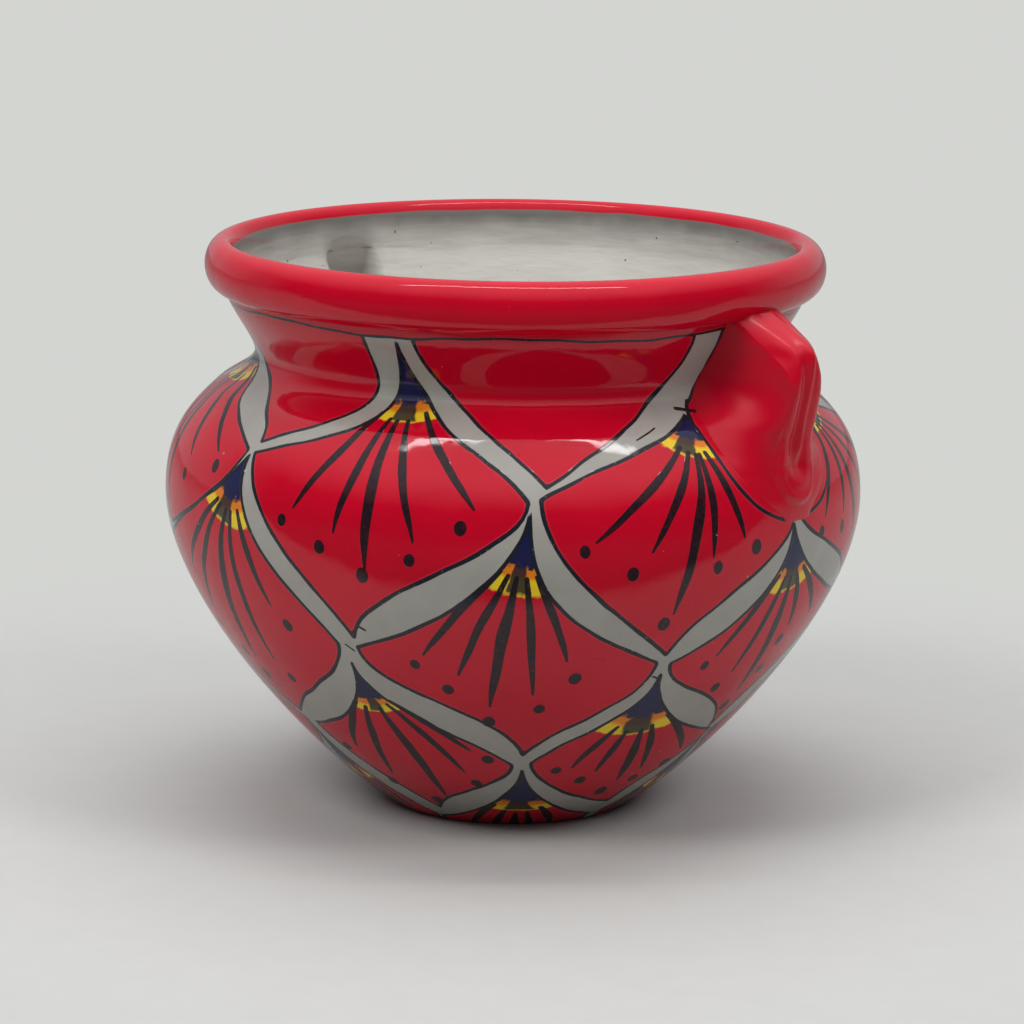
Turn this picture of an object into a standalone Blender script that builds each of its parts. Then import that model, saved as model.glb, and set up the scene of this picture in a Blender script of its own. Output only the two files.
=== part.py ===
"""Glazed earthenware planter with two closed ears, as the clay pieces it is luted together from.

Metres, +Z up. The origin is the centre of the flat underside. The ears stand out near +X and -X,
each set a little towards +Y.
"""
import math

import bmesh
import bpy
from mathutils import Vector

# Driving dimensions of the turned form
FOOT_RADIUS = 0.0595
FOOT_EDGE_RADIUS = 0.003
BELLY_RADIUS = 0.165
WAIST_RADIUS = 0.1225
COLLAR_FLARE = 0.0143
LOWER_HEIGHT = 0.151
SHOULDER_RISE = 0.066
COLLAR_RISE = 0.029
WALL = 0.009
FLOOR_THICKNESS = 0.012
FOOT_SEAM_RISE = 0.008
DRAIN_RADIUS = 0.009
DRAIN_LOWER_CHAMFER = 0.001
DRAIN_UPPER_CHAMFER = 0.002

# Directions of the outer curve and how far each of its handles pulls
FOOT_ANGLE = math.radians(54.5)
SHOULDER_REACH = 0.019
SHOULDER_DROP = 0.0173
SHOULDER_SLOPE = math.radians(43.0)
COLLAR_ANGLE = math.radians(16.0)
FOOT_PULL = 0.31
BELLY_LOW_PULL = 0.34
BELLY_HIGH_PULL = 0.54
SHOULDER_HIGH_PULL = 0.36
SHOULDER_LOW_PULL = 0.42
WAIST_LOW_PULL = 0.47
WAIST_HIGH_PULL = 0.23
COLLAR_PULL = 0.31

# Rolled rim; its round section starts at this angle under its outer side
ROLL_HEIGHT = 0.024
ROLL_WIDTH = 0.018
ROLL_START = math.radians(-78.0)

# Luted seams: a ridge in the middle of the lower edge stands in a groove above it
RIDGE = 0.003
GAP = 0.0003

# Ears: a hollow shell on the neck, with a ribbed strap pressed down its crest
EAR_TURN = math.radians(6.0)
EAR_REACH = 0.0475
EAR_WIDTH = 0.070
EAR_WALL = 0.0065
EAR_FLARE = 1.9
STRAP_WIDTH = 0.021
STRAP_THICKNESS = 0.0042
STRAP_OVERHANG = 0.0005
STRAP_RIB = 0.0006
EAR_END = -0.80
CAVITY_START = 1.0
CAVITY_END = -0.42
CAVITY_CROWN = 0.75
# Stations down the crest: height step (1 collar top, 0 waist, -1 belly seam), then shares of the
# reach that the crest stands out from the wall, of the strap's width and of the ear's width
EAR_STATIONS = (
    (1.16, 0.06, 0.57, 0.54),
    (1.00, 0.19, 0.67, 0.57),
    (0.88, 0.40, 0.81, 0.59),
    (0.50, 0.75, 0.90, 0.64),
    (-0.03, 1.00, 1.00, 0.76),
    (-0.26, 0.60, 0.98, 0.96),
    (-0.44, 0.30, 1.10, 1.02),
    (-0.58, 0.150, 1.27, 0.97),
    (-0.72, 0.105, 1.22, 0.79),
    (-0.82, 0.060, 0.88, 0.50),
    (-0.89, 0.010, 0.34, 0.20),
)
# Levels across a flank, as shares of the way from the wall up to the crest
FLANK_SHARES = (0.0, 0.12, 0.3, 0.55, 0.8, 1.0)
# Strap's section: places across each half, ribs, and how square its edges are
STRAP_PLACES = 4
STRAP_RIBS = 3
STRAP_SQUARENESS = 6
STRAP_EDGE_DROP = 0.5

TURNS = 64
FOOT_STEPS = 9
BELLY_STEPS = 5
SHOULDER_STEPS = 4
COLLAR_STEPS = 4
ROLL_STEPS = 12
EDGE_STEPS = 2
STATION_STEPS = 2
CURVE_SAMPLES = 160

# Worked out from the above
BELLY_Z = LOWER_HEIGHT
WAIST_Z = LOWER_HEIGHT + SHOULDER_RISE
COLLAR_Z = WAIST_Z + COLLAR_RISE
COLLAR_RADIUS = WAIST_RADIUS + COLLAR_FLARE
UP = Vector((0.0, 1.0))
SHOULDER_POINT = Vector((WAIST_RADIUS + SHOULDER_REACH, WAIST_Z - SHOULDER_DROP))
SHOULDER_DIR = Vector((-math.cos(SHOULDER_SLOPE), math.sin(SHOULDER_SLOPE)))

SHARP_ANGLE = math.radians(35.0)
CLAY = (0.60, 0.26, 0.15, 1.0)
RED_GLAZE = (0.50, 0.008, 0.018, 1.0)
DEEP_RED_GLAZE = (0.42, 0.006, 0.014, 1.0)
BRIGHT_RED_GLAZE = (0.58, 0.010, 0.022, 1.0)


def make_collection(name):
    """Collection of its own in the scene."""
    collection = bpy.data.collections.new(name)
    bpy.context.scene.collection.children.link(collection)
    return collection


def make_material(name, color, roughness):
    """Plain coloured material."""
    material = bpy.data.materials.new(name)
    material.use_nodes = True
    shader = material.node_tree.nodes["Principled BSDF"]
    shader.inputs["Base Color"].default_value = color
    shader.inputs["Roughness"].default_value = roughness
    shader.inputs["Metallic"].default_value = 0.0
    material.diffuse_color = color
    return material


def bezier(p0, p1, p2, p3, t):
    """Point and direction at t on a cubic curve."""
    s = 1.0 - t
    point = p0 * s**3 + p1 * 3 * s * s * t + p2 * 3 * s * t * t + p3 * t**3
    slope = (p1 - p0) * 3 * s * s + (p2 - p1) * 6 * s * t + (p3 - p2) * 3 * t * t
    return point, slope.normalized()


def outer_part(p0, dir0, pull0, p3, dir3, pull3, count):
    """Points up one part of the outer curve, each with its direction; pulls are shares of the rise."""
    rise = p3.y - p0.y
    p1 = p0 + dir0 * (pull0 * rise)
    p2 = p3 - dir3 * (pull3 * rise)
    return [bezier(p0, p1, p2, p3, i / count) for i in range(count + 1)]


def foot_to_belly(count):
    """Lower wall's outer curve, from the foot's edge up to the widest point."""
    start = Vector((FOOT_RADIUS, 0.0))
    flare = Vector((math.sin(FOOT_ANGLE), math.cos(FOOT_ANGLE)))
    end = Vector((BELLY_RADIUS, BELLY_Z))
    return outer_part(start, flare, FOOT_PULL, end, UP, BELLY_LOW_PULL, count)


def belly_to_waist(belly_count, shoulder_count):
    """Shoulder wall's outer curve, over the shoulder and in to the narrowest point."""
    belly = Vector((BELLY_RADIUS, BELLY_Z))
    waist = Vector((WAIST_RADIUS, WAIST_Z))
    over = outer_part(belly, UP, BELLY_HIGH_PULL, SHOULDER_POINT, SHOULDER_DIR,
                      SHOULDER_HIGH_PULL, belly_count)
    inward = outer_part(SHOULDER_POINT, SHOULDER_DIR, SHOULDER_LOW_PULL, waist, UP,
                        WAIST_LOW_PULL, shoulder_count)
    return over + inward[1:]


def waist_to_roll(count):
    """Collar's outer curve, flaring up to the rim."""
    waist = Vector((WAIST_RADIUS, WAIST_Z))
    top = Vector((COLLAR_RADIUS, COLLAR_Z))
    flare = Vector((math.sin(COLLAR_ANGLE), math.cos(COLLAR_ANGLE)))
    return outer_part(waist, UP, WAIST_HIGH_PULL, top, flare, COLLAR_PULL, count)


def outward(direction):
    """Outward normal of a curve that runs upwards."""
    return Vector((direction.y, -direction.x))


def inner_side(curve):
    """Inner face's points, one wall's thickness in from the outer curve."""
    return [point - outward(direction) * WALL for point, direction in curve]


def seam(curve_end, lift):
    """Outer, ridge and inner point of a seam across the wall, lifted along the wall."""
    point, direction = curve_end
    inner = point - outward(direction) * WALL
    middle = (point + inner) / 2 + direction * RIDGE
    return [p + direction * lift for p in (point, middle, inner)]


def profile_object(name, points, collection):
    """Closed outline in the XZ plane, turned about the Z axis."""
    mesh = bpy.data.meshes.new(name)
    edges = [(i, (i + 1) % len(points)) for i in range(len(points))]
    mesh.from_pydata([(p.x, 0.0, p.y) for p in points], edges, [])
    obj = bpy.data.objects.new(name, mesh)
    collection.objects.link(obj)
    screw = obj.modifiers.new("Turned", "SCREW")
    screw.axis = "Z"
    screw.steps = TURNS
    screw.render_steps = TURNS
    screw.use_merge_vertices = True
    screw.merge_threshold = 0.00001
    screw.use_normal_calculate = False
    return obj


def turned_ring(name, outer, lower_seam, upper_seam, inner, collection):
    """Ring of wall: down the outer side, across the lower seam and up the inner side."""
    down = [p for p, _ in outer[1:-1]][::-1]
    up = inner[1:-1]
    return profile_object(name, upper_seam[::-1] + down + lower_seam + up, collection)


def base_slab(collection):
    """Floor slab with its drain hole; its edge carries the first ridge."""
    flare = Vector((math.sin(FOOT_ANGLE), math.cos(FOOT_ANGLE)))
    curve = foot_seam_curve()
    outer, ridge, inner = seam(curve[0], 0.0)
    corner = Vector((FOOT_RADIUS, 0.0))
    before = corner + flare * FOOT_EDGE_RADIUS
    after = corner - Vector((FOOT_EDGE_RADIUS, 0.0))
    edge = []
    for i in range(EDGE_STEPS + 1):
        t = i / EDGE_STEPS
        edge.append(before * (1 - t) ** 2 + corner * 2 * t * (1 - t) + after * t * t)
    floor_edge = Vector((inner.x - (inner.y - FLOOR_THICKNESS), FLOOR_THICKNESS))
    drain = [Vector((DRAIN_RADIUS + DRAIN_LOWER_CHAMFER, 0.0)),
             Vector((DRAIN_RADIUS, DRAIN_LOWER_CHAMFER)),
             Vector((DRAIN_RADIUS, FLOOR_THICKNESS - DRAIN_UPPER_CHAMFER)),
             Vector((DRAIN_RADIUS + DRAIN_UPPER_CHAMFER, FLOOR_THICKNESS))]
    points = [inner, ridge, outer] + edge + drain + [floor_edge]
    return profile_object("base_slab", points, collection)


def foot_seam_curve():
    """Lower wall's outer curve from the foot seam up."""
    whole = foot_to_belly(CURVE_SAMPLES)
    start = next(i for i, (p, _) in enumerate(whole) if p.y >= FOOT_SEAM_RISE)
    span = CURVE_SAMPLES - start
    return [whole[start + round(i * span / FOOT_STEPS)] for i in range(FOOT_STEPS + 1)]


def lower_wall(collection):
    """Bowl from the floor's edge up to the widest point."""
    curve = foot_seam_curve()
    return turned_ring("lower_wall", curve, seam(curve[0], GAP), seam(curve[-1], 0.0),
                       inner_side(curve), collection)


def shoulder_wall(collection):
    """Upper half of the belly, drawn in to the neck."""
    curve = belly_to_waist(BELLY_STEPS, SHOULDER_STEPS)
    return turned_ring("shoulder_wall", curve, seam(curve[0], GAP), seam(curve[-1], 0.0),
                       inner_side(curve), collection)


def neck_collar(collection):
    """Short flared neck."""
    curve = waist_to_roll(COLLAR_STEPS)
    return turned_ring("neck_collar", curve, seam(curve[0], GAP), seam(curve[-1], 0.0),
                       inner_side(curve), collection)


def roll_centre():
    """Middle of the rim's section, whose inner side is flush with the collar's."""
    inner = seam(waist_to_roll(COLLAR_STEPS)[-1], 0.0)[2]
    return Vector((inner.x + ROLL_WIDTH / 2, COLLAR_Z + ROLL_HEIGHT / 2))


def roll_curve(grow):
    """Rim's round section, from under its outer side, over the top, to its inner side."""
    centre = roll_centre()
    half_width = ROLL_WIDTH / 2 + grow
    half_height = ROLL_HEIGHT / 2 + grow
    points = []
    for i in range(ROLL_STEPS + 1):
        angle = ROLL_START + (math.pi - ROLL_START) * i / ROLL_STEPS
        points.append(centre + Vector((half_width * math.cos(angle), half_height * math.sin(angle))))
    return points


def rim_roll(collection):
    """Coil rolled over the collar's top."""
    groove = seam(waist_to_roll(COLLAR_STEPS)[-1], GAP)
    return profile_object("rim_roll", roll_curve(0.0)[::-1] + groove, collection)


def wall_cutter(collection):
    """Turned solid that fills the pot to a gap outside its wall, for the ears to sit on."""
    curve = foot_seam_curve()[FOOT_STEPS // 2:]
    curve += belly_to_waist(BELLY_STEPS, SHOULDER_STEPS)[1:]
    curve += waist_to_roll(COLLAR_STEPS)[1:]
    outer = [p + outward(d) * GAP for p, d in curve] + roll_curve(GAP)
    top = Vector((0.0, outer[-1].y))
    bottom = Vector((0.0, outer[0].y))
    cutter = profile_object("wall_cutter", [top] + outer[::-1] + [bottom], collection)
    return cutter


def wall_radius(height):
    """Outer radius of the wall at a height between the belly seam and the collar's top."""
    curve = belly_to_waist(BELLY_STEPS, SHOULDER_STEPS) + waist_to_roll(COLLAR_STEPS)[1:]
    points = [p for p, _ in curve]
    for low, high in zip(points, points[1:]):
        if low.y <= height <= high.y:
            share = (height - low.y) / (high.y - low.y)
            return low.x + (high.x - low.x) * share
    return points[-1].x if height > points[-1].y else points[0].x


def smooth_line(rows, steps):
    """Rows of numbers joined by a smooth line through them all, with steps between each pair."""
    out = []
    last = len(rows) - 1
    for i in range(last):
        before, a, b, after = rows[max(i - 1, 0)], rows[i], rows[i + 1], rows[min(i + 2, last)]
        for j in range(steps):
            t = j / steps
            row = []
            for p0, p1, p2, p3 in zip(before, a, b, after):
                value = 2 * p1 + (p2 - p0) * t + (2 * p0 - 5 * p1 + 4 * p2 - p3) * t * t
                value += (3 * p1 - p0 - 3 * p2 + p3) * t**3
                row.append(value / 2)
            out.append(tuple(row))
    out.append(tuple(rows[-1]))
    return out


def ear_stations():
    """Stations down the ear: crest point, half the strap's width and half the ear's width."""
    rows = []
    for step, proud, strap, foot in smooth_line(EAR_STATIONS, STATION_STEPS):
        height = WAIST_Z + step * (COLLAR_RISE if step > 0 else SHOULDER_RISE)
        crest = Vector((wall_radius(height) + proud * EAR_REACH, height))
        rows.append((step, crest, strap * STRAP_WIDTH / 2, foot * EAR_WIDTH / 2))
    return rows


def crest_normals(crests):
    """Outward normal of the crest line at each of its points."""
    normals = []
    for i in range(len(crests)):
        along = crests[max(i - 1, 0)] - crests[min(i + 1, len(crests) - 1)]
        normals.append(outward(along.normalized()))
    return normals


def loft(name, rings, collection):
    """Closed solid through rings of as many points each."""
    form = bmesh.new()
    loops = [[form.verts.new(p) for p in ring] for ring in rings]
    count = len(rings[0])
    for low, high in zip(loops, loops[1:]):
        for i in range(count):
            j = (i + 1) % count
            form.faces.new((low[i], low[j], high[j], high[i]))
    form.faces.new(loops[0][::-1])
    form.faces.new(loops[-1])
    bmesh.ops.recalc_face_normals(form, faces=form.faces)
    mesh = bpy.data.meshes.new(name)
    form.to_mesh(mesh)
    form.free()
    obj = bpy.data.objects.new(name, mesh)
    collection.objects.link(obj)
    return obj


def ear_section(height, crest, crest_half, foot_half, sink):
    """One level section of an ear: a flared flank on each side of the crest."""
    foot = math.sqrt(wall_radius(height) ** 2 - foot_half**2)
    side = [(foot - sink, foot_half)]
    for share in FLANK_SHARES:
        flare = (1.0 - share) ** EAR_FLARE
        side.append((foot + (crest - foot) * share, crest_half + (foot_half - crest_half) * flare))
    ring = [(x, y, height) for x, y in side]
    return ring + [(x, -y, height) for x, y in side[::-1]]


def ear_form(collection):
    """Whole outer form of an ear, with the strap's space still in it."""
    rings = []
    for step, crest, strap, foot in ear_stations():
        if step >= EAR_END:
            rings.append(ear_section(crest.y, crest.x, strap - STRAP_OVERHANG, foot, WALL / 2))
    return loft("ear_form", rings, collection)


def ear_cavity(collection):
    """Hollow of an ear, run on inwards through the pot's wall."""
    rows = ear_stations()
    depth = STRAP_THICKNESS + EAR_WALL
    normals = crest_normals([row[1] for row in rows])
    rings = []
    for (step, crest, strap, foot), normal in zip(rows, normals):
        if CAVITY_END <= step <= CAVITY_START:
            inner = crest - normal * depth
            crest_half = strap - STRAP_OVERHANG - EAR_WALL * CAVITY_CROWN
            rings.append(ear_section(inner.y, inner.x, crest_half, foot - EAR_WALL, 3 * WALL))
    return loft("ear_cavity", rings, collection)


def strap_form(name, grow, clear_above, collection):
    """Strap down the crest with three soft ribs, or a cutter grown round it and clear above it."""
    rows = ear_stations()
    crests = [row[1] for row in rows]
    normals = crest_normals(crests)
    rings = []
    for (_, crest, half, _), normal in zip(rows, normals):
        width = half + grow
        ring = []
        for i in range(2 * STRAP_PLACES + 1):
            across = 1.0 - i / STRAP_PLACES
            rib = STRAP_RIB * math.cos(STRAP_RIBS * math.pi * across) * (1 - across * across)
            drop = STRAP_THICKNESS * STRAP_EDGE_DROP * across**STRAP_SQUARENESS
            point = crest + normal * (rib - drop + clear_above)
            ring.append((point.x, width * across, point.y))
        under = crest - normal * (STRAP_THICKNESS + grow)
        ring += [(under.x, -width, under.y), (under.x, width, under.y)]
        rings.append(ring)
    return loft(name, rings, collection)


def cut(obj, cutter, name):
    """Take a cutter's shape out of an object."""
    boolean = obj.modifiers.new(name, "BOOLEAN")
    boolean.operation = "DIFFERENCE"
    boolean.solver = "EXACT"
    boolean.object = cutter


def set_round(obj, name, angle, collection):
    """A copy of one made along +X, turned round the pot's axis to its place."""
    copy = bpy.data.objects.new(name, obj.data)
    copy.rotation_euler = (0.0, 0.0, angle)
    collection.objects.link(copy)
    return copy


def finished(obj, collection):
    """The object with its modifiers worked into its mesh, so that a second one can share it."""
    depsgraph = bpy.context.evaluated_depsgraph_get()
    mesh = bpy.data.meshes.new_from_object(obj.evaluated_get(depsgraph))
    done = bpy.data.objects.new(obj.name + "_done", mesh)
    collection.objects.link(done)
    name = obj.name
    bpy.data.objects.remove(obj)
    done.name = name
    return done


def build_ears(walls, parts, cutters):
    """Both ears with their straps, and the openings that lead into them from the pot."""
    wall = wall_cutter(cutters)
    cavity = ear_cavity(cutters)
    grown_strap = strap_form("strap_cutter", GAP, STRAP_THICKNESS, cutters)
    angles = {"right": EAR_TURN, "left": math.pi - EAR_TURN}

    ear = ear_form(parts)
    cut(ear, wall, "Wall")
    cut(ear, grown_strap, "Strap seat")
    cut(ear, cavity, "Hollow")
    ear = finished(ear, parts)

    strap = strap_form("strap", 0.0, 0.0, parts)
    cut(strap, wall, "Wall")
    strap = finished(strap, parts)

    ears = []
    straps = []
    hollows = []
    for side, angle in angles.items():
        ears.append(set_round(ear, "ear_" + side, angle, parts))
        straps.append(set_round(strap, "ear_strap_" + side, angle, parts))
        hollows.append(set_round(cavity, "hollow_" + side, angle, cutters))
    bpy.data.objects.remove(ear)
    bpy.data.objects.remove(strap)

    for obj in walls:
        for hollow in hollows:
            cut(obj, hollow, "Opening")
    for obj in [wall, cavity, grown_strap] + hollows:
        obj.hide_render = True
        obj.display_type = "WIRE"
    return ears, straps


def finish_surface(obj, material):
    """Give a piece its material and smooth its round faces."""
    if not obj.data.materials:
        obj.data.materials.append(material)
    obj.data.shade_smooth()
    obj.data.set_sharp_from_angle(angle=SHARP_ANGLE)


def build():
    """Make every piece of the planter."""
    for obj in list(bpy.data.objects):
        bpy.data.objects.remove(obj, do_unlink=True)
    parts = make_collection("planter")
    cutters = make_collection("cutters")

    slab = base_slab(parts)
    low = lower_wall(parts)
    shoulder = shoulder_wall(parts)
    collar = neck_collar(parts)
    roll = rim_roll(parts)
    ears, straps = build_ears([shoulder, collar], parts, cutters)

    finish_surface(slab, make_material("bare_clay", CLAY, 0.85))
    finish_surface(low, make_material("lower_glaze", RED_GLAZE, 0.12))
    finish_surface(shoulder, make_material("shoulder_glaze", DEEP_RED_GLAZE, 0.12))
    finish_surface(collar, make_material("collar_glaze", RED_GLAZE, 0.12))
    finish_surface(roll, make_material("rim_glaze", BRIGHT_RED_GLAZE, 0.10))
    ear_material = make_material("ear_glaze", DEEP_RED_GLAZE, 0.12)
    strap_material = make_material("strap_glaze", BRIGHT_RED_GLAZE, 0.12)
    for ear in ears:
        finish_surface(ear, ear_material)
    for strap in straps:
        finish_surface(strap, strap_material)


build()
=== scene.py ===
import math

import bmesh
import bpy
import numpy as np
from mathutils import Matrix, Vector


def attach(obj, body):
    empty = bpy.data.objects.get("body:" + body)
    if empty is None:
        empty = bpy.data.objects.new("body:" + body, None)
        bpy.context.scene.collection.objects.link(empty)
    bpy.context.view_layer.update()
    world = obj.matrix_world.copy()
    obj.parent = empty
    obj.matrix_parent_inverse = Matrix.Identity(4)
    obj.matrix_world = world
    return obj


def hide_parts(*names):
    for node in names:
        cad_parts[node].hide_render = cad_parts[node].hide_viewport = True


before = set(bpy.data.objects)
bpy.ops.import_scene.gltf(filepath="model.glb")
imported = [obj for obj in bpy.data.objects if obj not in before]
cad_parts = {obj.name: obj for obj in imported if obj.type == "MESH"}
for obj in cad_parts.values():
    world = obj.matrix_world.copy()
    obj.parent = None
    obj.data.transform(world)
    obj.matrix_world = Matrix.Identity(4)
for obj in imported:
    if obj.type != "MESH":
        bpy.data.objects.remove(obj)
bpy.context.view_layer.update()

# The planter stands on its foot with the right ear turned towards the viewer's right. The viewer
# stands a little under two metres away and looks slightly down over the rim into the mouth.
VIEW_SIDE = math.radians(-45.5)
VIEW_REACH = 1.939
VIEW_HEIGHT = 0.546
VIEW_DOWN = math.radians(11.89)
VIEW_ROLL = math.radians(0.605)


def put_in(name, data):
    """A new object in the scene."""
    thing = bpy.data.objects.new(name, data)
    bpy.context.scene.collection.objects.link(thing)
    return thing


viewer = bpy.data.cameras.new("viewer")
viewer.sensor_width = 36.0
viewer.lens = 145.78
viewer.shift_x = -0.0008
viewer_object = put_in("viewer", viewer)
stand = Vector((VIEW_REACH * math.cos(VIEW_SIDE), VIEW_REACH * math.sin(VIEW_SIDE), VIEW_HEIGHT))
viewer_object.matrix_world = (Matrix.Translation(stand)
                              @ Matrix.Rotation(VIEW_SIDE + math.pi / 2, 4, "Z")
                              @ Matrix.Rotation(math.pi / 2 - VIEW_DOWN, 4, "X")
                              @ Matrix.Rotation(VIEW_ROLL, 4, "Z"))
bpy.context.scene.camera = viewer_object

# Foot: the floor slab of the pot, a disc of red earthenware with the drain hole in it. It is glazed
# down to its rounded edge, and its underside is wiped clean, so that it doesn't stick in the kiln.
FOOT_RADIUS = 0.0595
FOOT_EDGE = 0.003
FOOT_ANGLE = math.radians(54.5)
FLOOR_THICKNESS = 0.012
DRAIN_RADIUS = 0.009
FOOT_SEAM = 0.008
WALL = 0.009
TURNS = 600
UP = Vector((0.0, 1.0))


def bezier(p0, p1, p2, p3, t):
    """Point and direction at t on a cubic curve."""
    s = 1.0 - t
    point = p0 * s**3 + p1 * 3 * s * s * t + p2 * 3 * s * t * t + p3 * t**3
    slope = (p1 - p0) * 3 * s * s + (p2 - p1) * 6 * s * t + (p3 - p2) * 3 * t * t
    return point, slope.normalized()


def rising(p0, dir0, pull0, p3, dir3, pull3, count):
    """Points up one stretch of the wall, with directions; pulls are shares of the rise."""
    rise = p3.y - p0.y
    p1 = p0 + dir0 * (pull0 * rise)
    p2 = p3 - dir3 * (pull3 * rise)
    return [bezier(p0, p1, p2, p3, i / count) for i in range(count + 1)]


def outward(direction):
    """Outward normal of a stretch that runs upwards."""
    return Vector((direction.y, -direction.x))


def inner_side(curve):
    """The inner face, one wall's thickness in."""
    return [point - outward(direction) * WALL for point, direction in curve]


def shaped(name, clay, finishes):
    """Makes a piece of the shaped clay, with room for its finishes."""
    mesh = bpy.data.meshes.new(name)
    clay.to_mesh(mesh)
    clay.free()
    for finish in finishes:
        mesh.materials.append(finish)
    return put_in(name, mesh)


def throw(name, profile, finishes):
    """Turns a closed profile on the wheel."""
    clay = bmesh.new()
    ring = [clay.verts.new((p.x, 0.0, p.y)) for p in profile]
    edges = [clay.edges.new((a, b)) for a, b in zip(ring, ring[1:] + ring[:1])]
    bmesh.ops.spin(clay, geom=ring + edges, cent=(0, 0, 0), axis=(0, 0, 1), dvec=(0, 0, 0),
                   angle=math.tau, steps=TURNS, use_merge=True, use_normal_flip=False,
                   use_duplicate=False)
    bmesh.ops.recalc_face_normals(clay, faces=clay.faces)
    return shaped(name, clay, finishes)


def rows(elements, what):
    """A measure of all the vertices or faces of a mesh, one row of three each."""
    values = np.empty(len(elements) * 3, np.float32)
    elements.foreach_get(what, values)
    return values.reshape(-1, 3)


def settle(piece, sharp=35.0):
    """Hand unevenness of the clay, the same function of place on every piece, and soft shading."""
    mesh = piece.data
    co = rows(mesh.vertices, "co")
    angle = np.arctan2(co[:, 1], co[:, 0])
    rise = np.clip(co[:, 2] / 0.05, 0.0, 1.0)
    z = co[:, 2] * 1000.0
    swell = 0.28 * np.sin(2 * angle + 0.7) + 0.16 * np.sin(3 * angle - z / 60.0)
    swell += 0.12 * np.sin(5 * angle + z / 24.0) + 0.07 * np.sin(9 * angle - z / 13.0 + 1.0)
    radius = np.maximum(np.hypot(co[:, 0], co[:, 1]), 1e-6)
    scale = 1.0 + rise * swell * 0.001 / radius * np.clip(radius / 0.05, 0.0, 1.0)
    co[:, 0] *= scale
    co[:, 1] *= scale
    mesh.vertices.foreach_set("co", co.ravel())
    mesh.shade_smooth()
    mesh.set_sharp_from_angle(angle=math.radians(sharp))
    mesh.update()


def paint_node(tree, kind, **settings):
    """A shader node with some of its values set."""
    node = tree.nodes.new(kind)
    for key, value in settings.items():
        setattr(node, key, value)
    return node


def feed(tree, socket, value):
    """Links a socket into another, or sets a plain value."""
    if isinstance(value, bpy.types.NodeSocket):
        tree.links.new(value, socket)
    else:
        socket.default_value = value


def calc(tree, operation, a, b=0.0, c=0.0, clamp=False):
    """Arithmetic on sockets or plain values."""
    node = paint_node(tree, "ShaderNodeMath", operation=operation, use_clamp=clamp)
    for socket, value in zip(node.inputs, (a, b, c)):
        feed(tree, socket, value)
    return node.outputs[0]


def times(tree, a, b):
    """The product of two sockets or plain values."""
    return calc(tree, "MULTIPLY", a, b)


def below(tree, value, limit, soft):
    """1 where the value is under the limit, 0 above it, with a soft edge."""
    step = calc(tree, "SUBTRACT", limit, value)
    return calc(tree, "MULTIPLY_ADD", step, 0.5 / soft, 0.5, clamp=True)


def blend(tree, share, first, second):
    """Mixes two colours."""
    node = paint_node(tree, "ShaderNodeMix", data_type="RGBA")
    feed(tree, node.inputs["Factor"], share)
    feed(tree, node.inputs["A"], first)
    feed(tree, node.inputs["B"], second)
    return node.outputs["Result"]


def grain(tree, place, size, detail=2.0, rough=0.5, seed=0.0):
    """Soft noise about 0.5 whose lumps are of the given size in metres."""
    node = paint_node(tree, "ShaderNodeTexNoise", noise_dimensions="4D")
    feed(tree, node.inputs["Vector"], place)
    node.inputs["Scale"].default_value = 1.0 / size
    node.inputs["Detail"].default_value = detail
    node.inputs["Roughness"].default_value = rough
    node.inputs["W"].default_value = seed
    return node.outputs["Fac"]


def finish(name):
    """A new finish: its node tree, its shader and its place on the object."""
    material = bpy.data.materials.new(name)
    material.use_nodes = True
    tree = material.node_tree
    shader = tree.nodes["Principled BSDF"]
    place = paint_node(tree, "ShaderNodeTexCoord").outputs["Object"]
    return material, tree, shader, place


def relief(tree, shader, parts):
    """Adds surface relief: pairs of a height socket and the height in metres that 1 stands for."""
    normal = None
    for height, depth in parts:
        bump = paint_node(tree, "ShaderNodeBump")
        bump.inputs["Strength"].default_value = 1.0
        bump.inputs["Distance"].default_value = depth
        feed(tree, bump.inputs["Height"], height)
        if normal is not None:
            tree.links.new(normal, bump.inputs["Normal"])
        normal = bump.outputs["Normal"]
    tree.links.new(normal, shader.inputs["Normal"])


def bare_clay():
    """Unglazed fired earthenware: matte, gritty, with paler dust and a few dark kiln marks."""
    material, tree, shader, place = finish("bare_clay")
    cloud = grain(tree, place, 0.03, 4.0, 0.6)
    grit = grain(tree, place, 0.0012, 3.0, 0.7, 2.0)
    color = blend(tree, cloud, (0.40, 0.155, 0.085, 1), (0.60, 0.28, 0.165, 1))
    color = blend(tree, times(tree, grit, 0.35), color, (0.68, 0.42, 0.30, 1))
    marks = below(tree, grain(tree, place, 0.004, 2.0, 0.6, 5.0), 0.36, 0.03)
    color = blend(tree, times(tree, marks, 0.5), color, (0.16, 0.07, 0.045, 1))
    tree.links.new(color, shader.inputs["Base Color"])
    shader.inputs["Roughness"].default_value = 0.88
    relief(tree, shader, [(grit, 0.0004), (cloud, 0.0008)])
    return material


FOOT_FLARE = Vector((math.sin(FOOT_ANGLE), math.cos(FOOT_ANGLE)))
foot_corner = Vector((FOOT_RADIUS, 0.0))
foot_before = foot_corner + FOOT_FLARE * FOOT_EDGE
foot_after = foot_corner - Vector((FOOT_EDGE, 0.0))
foot_edge = []
for i in range(9):
    t = i / 8
    foot_edge.append(foot_before * (1 - t) ** 2 + foot_corner * 2 * t * (1 - t) + foot_after * t * t)
BELLY = Vector((0.165, 0.151))
LOWER_ROWS = 126
LOWER_STEPS = 400
lower_all = rising(foot_corner, FOOT_FLARE, 0.31, BELLY, UP, 0.34, LOWER_STEPS)
lower_start = next(i for i, (p, _) in enumerate(lower_all) if p.y >= FOOT_SEAM)
lower_curve = [lower_all[lower_start + round(i * (LOWER_STEPS - lower_start) / LOWER_ROWS)]
               for i in range(LOWER_ROWS + 1)]
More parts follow.
